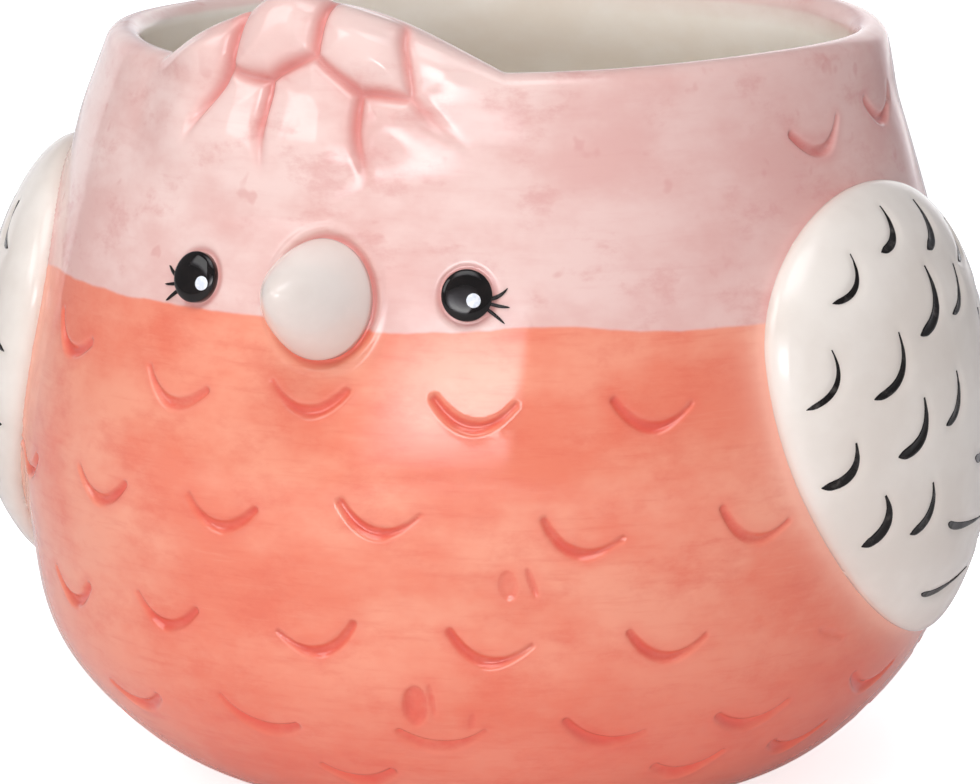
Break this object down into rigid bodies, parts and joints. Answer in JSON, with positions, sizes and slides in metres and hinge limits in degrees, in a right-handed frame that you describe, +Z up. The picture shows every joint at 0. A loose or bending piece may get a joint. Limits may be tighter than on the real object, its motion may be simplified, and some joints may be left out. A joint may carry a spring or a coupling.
{
  "type": "flower pot",
  "caption": "Round glazed stoneware flower pot in the form of a plump parrot, with relief wings, beak, eyes and crest, an open mouth and a plugged drain hole.",
  "frame": {"origin": "on the ground under the middle of the pot's outline seen from above", "axes": "+Z up, the bird faces -Y, and its left wing is on +X"},
  "size_m": [0.1544, 0.1506, 0.1216],
  "materials": {
    "coral_pink_glaze": "brushed underglaze colour, coral below and pale pink above, under clear gloss glaze",
    "pale_pink_glaze": "mottled pale pink under clear gloss glaze",
    "ivory_glaze": "ivory gloss glaze",
    "black_glaze": "black gloss glaze",
    "grey_rubber": "moulded, satin"
  },
  "bodies": {
    "pot": {"pot_body": "coral_pink_glaze", "left_wing": "ivory_glaze", "right_wing": "ivory_glaze", "beak": "ivory_glaze", "left_eye": "black_glaze", "right_eye": "black_glaze", "crest_feather_top_right": "pale_pink_glaze", "crest_feather_top_left": "pale_pink_glaze", "crest_feather_outer_right": "pale_pink_glaze", "crest_feather_outer_left": "pale_pink_glaze", "crest_feather_low_right": "pale_pink_glaze", "crest_feather_low_middle": "pale_pink_glaze", "crest_feather_low_left": "pale_pink_glaze"},
    "plug": {"drain_plug": "grey_rubber"}
  },
  "joints": [
    {"name": "plug_pull", "type": "slide", "parent": "pot", "child": "plug", "axis": [0, 0, -1], "range_m": [0, 0.02]}
  ]
}
